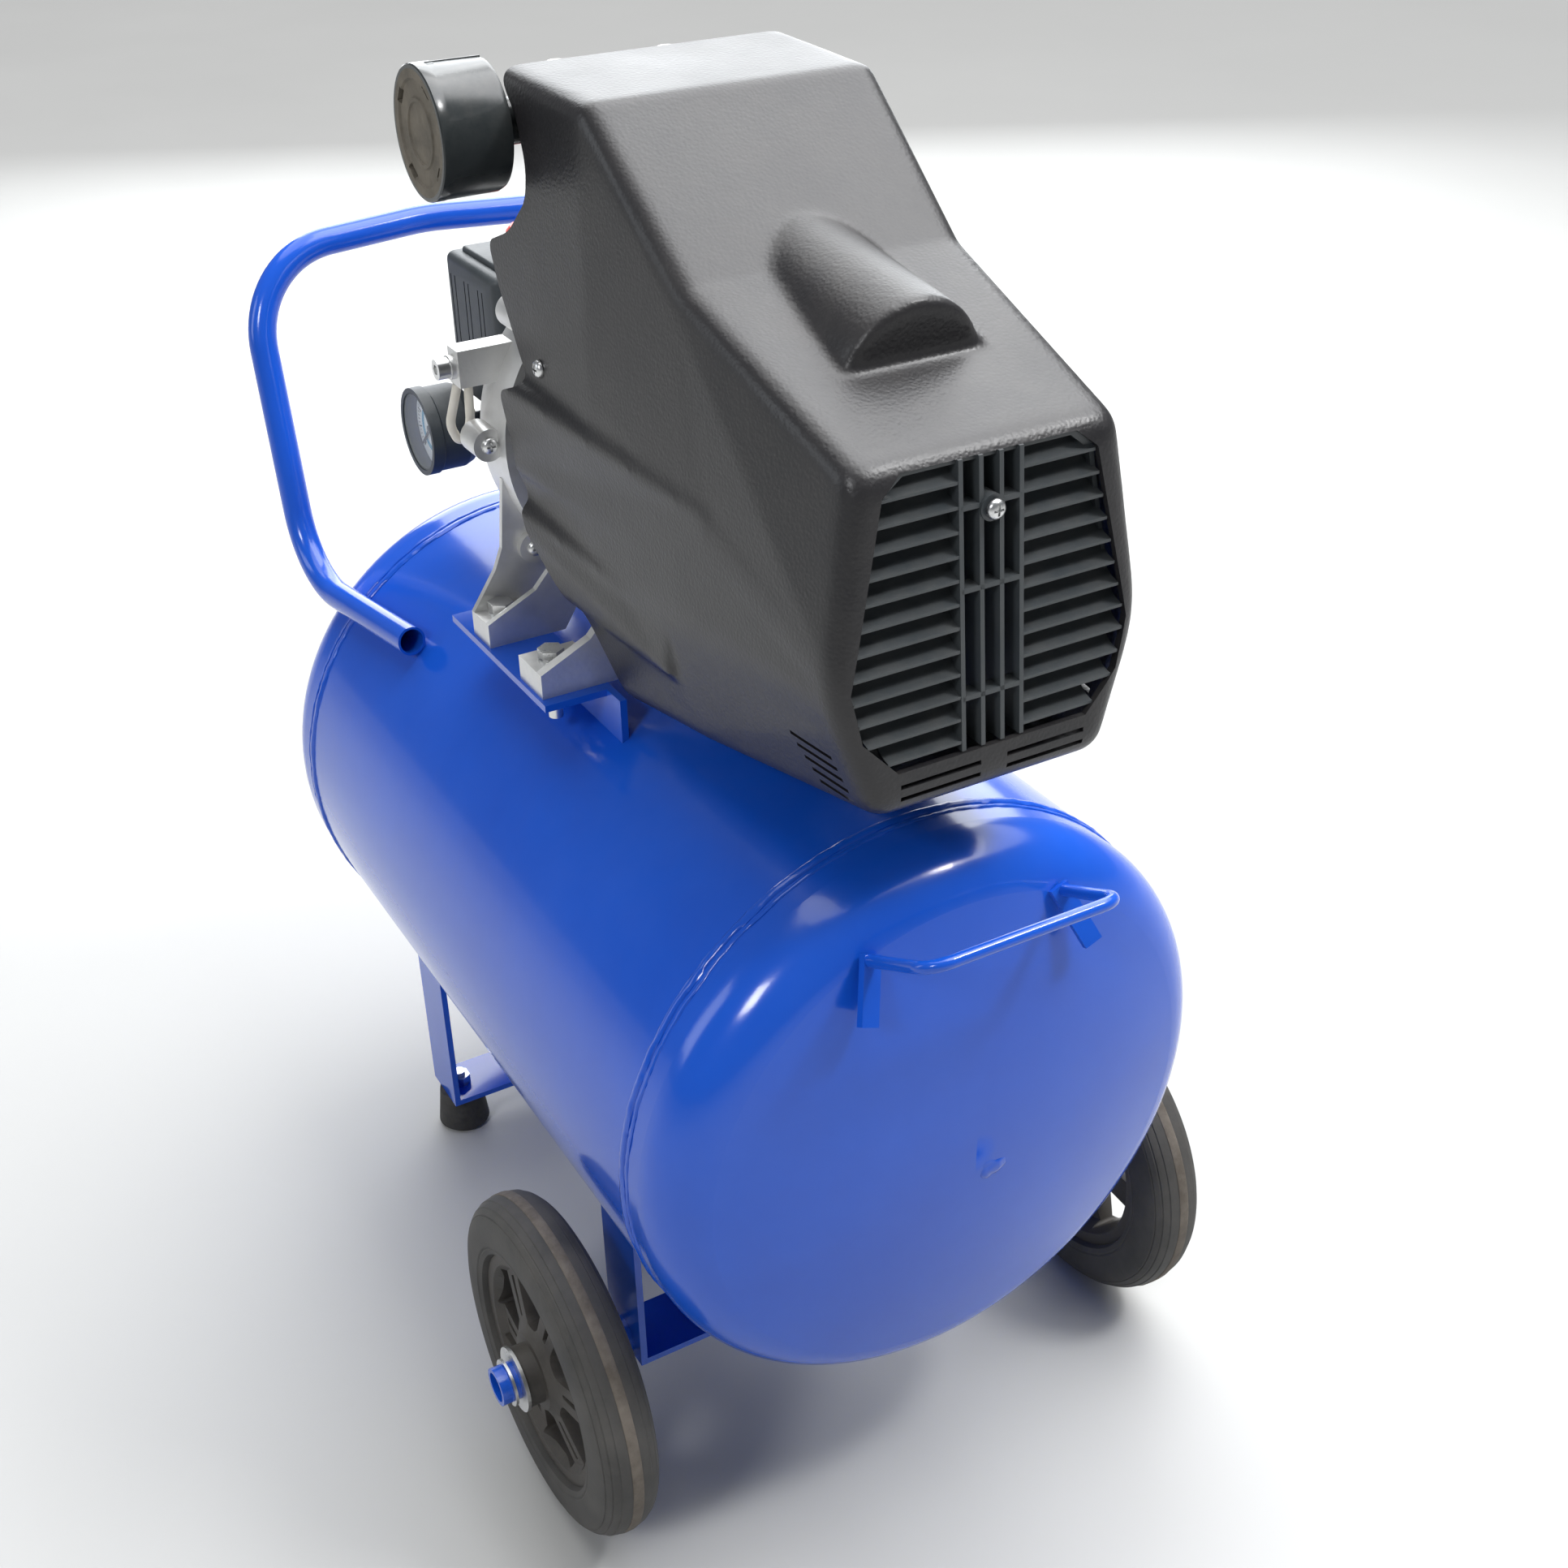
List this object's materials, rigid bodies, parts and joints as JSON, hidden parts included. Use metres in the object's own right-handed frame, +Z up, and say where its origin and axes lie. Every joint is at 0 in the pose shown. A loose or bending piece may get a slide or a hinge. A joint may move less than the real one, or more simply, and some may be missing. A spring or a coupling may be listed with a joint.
{
  "type": "air compressor",
  "caption": "Wheeled direct-drive air compressor: horizontal receiver, shrouded motor and pump on top, pressure switch, gauge, outlet, wheels, rubber feet and carrying handle.",
  "frame": {"origin": "on the floor, under the middle of the whole length and width", "axes": "+X from the carrying handle towards the grille end, +Y to the right of someone facing +X from behind, away from the intake filter; +Z up"},
  "size_m": [0.6958, 0.444, 0.7535],
  "materials": {
    "blue_paint": "gloss",
    "black_rubber": "matt",
    "tyre_rubber": "worn matt",
    "rim_plastic": "moulded",
    "zinc_steel": "zinc plated",
    "cast_alloy": "as cast",
    "dark_steel": "machined laminations",
    "copper_wire": "enamelled wire",
    "shroud_plastic": "fine texture",
    "dusty_plastic": "dusty",
    "grille_plastic": "satin",
    "switch_plastic": "satin",
    "red_plastic": "satin",
    "dial_white": "printed",
    "needle_black": "satin",
    "clear_glass": "clear",
    "brass_fitting": "machined",
    "pipe_alloy": "drawn",
    "pale_hose": "matt"
  },
  "bodies": {
    "frame": {"tank_shell": "blue_paint", "tank_sockets": "blue_paint", "tank_head_near": "blue_paint", "tank_head_far": "blue_paint", "wheel_bracket": "blue_paint", "foot_bracket": "blue_paint", "rubber_feet": "black_rubber", "axle_stubs": "blue_paint", "axle_washers": "zinc_steel", "retaining_clips": "zinc_steel", "carry_handle": "blue_paint", "end_handle": "blue_paint", "pump_rails": "blue_paint", "crankcase": "cast_alloy", "crankcase_cover": "cast_alloy", "oil_plug": "zinc_steel", "hex_bolts": "zinc_steel", "cylinder": "cast_alloy", "valve_plate": "zinc_steel", "cylinder_head": "cast_alloy", "head_bolts": "zinc_steel", "filter_body": "shroud_plastic", "filter_cap": "dusty_plastic", "stator": "dark_steel", "windings": "copper_wire", "motor_shield": "cast_alloy", "motor_studs": "zinc_steel", "capacitor": "grille_plastic", "shroud": "shroud_plastic", "grille": "grille_plastic", "pan_screws": "zinc_steel", "delivery_pipe": "pipe_alloy", "check_valve": "brass_fitting", "manifold": "cast_alloy", "switch_base": "switch_plastic", "switch_cover": "switch_plastic", "cable_glands": "switch_plastic", "gauge_case": "switch_plastic", "gauge_dial": "dial_white", "gauge_glass": "clear_glass", "regulator": "brass_fitting", "coupler": "brass_fitting", "safety_valve": "brass_fitting", "drain_valve": "brass_fitting", "breather_hose": "pale_hose"},
    "wheel_left": {"wheel_left_rim": "rim_plastic", "wheel_left_tyre": "tyre_rubber"},
    "wheel_right": {"wheel_right_rim": "rim_plastic", "wheel_right_tyre": "tyre_rubber"},
    "rotor": {"crankshaft": "dark_steel", "rotor": "dark_steel", "fan": "grille_plastic"},
    "piston": {"piston": "cast_alloy", "connecting_rod": "cast_alloy"},
    "switch_knob": {"switch_knob": "red_plastic"},
    "gauge_needle": {"gauge_needle": "needle_black"},
    "regulator_knob": {"regulator_knob": "switch_plastic"},
    "coupler_sleeve": {"coupler_sleeve": "zinc_steel"},
    "safety_ring": {"safety_ring": "zinc_steel"},
    "drain_knob": {"drain_knob": "switch_plastic"}
  },
  "joints": [
    {"name": "wheel_left_roll", "type": "hinge", "parent": "frame", "child": "wheel_left", "pos_m": [0.1813, -0.1836, 0.1], "axis": [0, 1, 0], "continuous": true},
    {"name": "wheel_right_roll", "type": "hinge", "parent": "frame", "child": "wheel_right", "pos_m": [0.1813, 0.1836, 0.1], "axis": [0, 1, 0], "continuous": true},
    {"name": "crank_spin", "type": "hinge", "parent": "frame", "child": "rotor", "pos_m": [0.1163, 0, 0.552], "axis": [1, 0, 0], "continuous": true},
    {"name": "piston_stroke", "type": "slide", "parent": "frame", "child": "piston", "axis": [0, 0, 1], "range_m": [-0.04, 0]},
    {"name": "switch_knob_pull", "type": "slide", "parent": "frame", "child": "switch_knob", "axis": [0, 0, 1], "range_m": [0, 0.006]},
    {"name": "gauge_sweep", "type": "hinge", "parent": "frame", "child": "gauge_needle", "pos_m": [-0.1597, -0.0754, 0.517], "axis": [0, 1, 0], "range_deg": [0, 270], "stiffness_Nm_per_rad": 0.002},
    {"name": "regulator_turn", "type": "hinge", "parent": "frame", "child": "regulator_knob", "pos_m": [-0.1357, 0.062, 0.54], "axis": [0, 0, 1], "range_deg": [-360, 360]},
    {"name": "coupler_sleeve_slide", "type": "slide", "parent": "frame", "child": "coupler_sleeve", "axis": [-1, 0, 0], "range_m": [0, 0.004], "stiffness_N_per_m": 900},
    {"name": "safety_ring_pull", "type": "slide", "parent": "frame", "child": "safety_ring", "axis": [-1, 0, 0], "range_m": [0, 0.003], "stiffness_N_per_m": 900},
    {"name": "drain_turn", "type": "hinge", "parent": "frame", "child": "drain_knob", "pos_m": [0.0163, 0, 0.08], "axis": [0, 0, 1], "range_deg": [0, 360]}
  ]
}
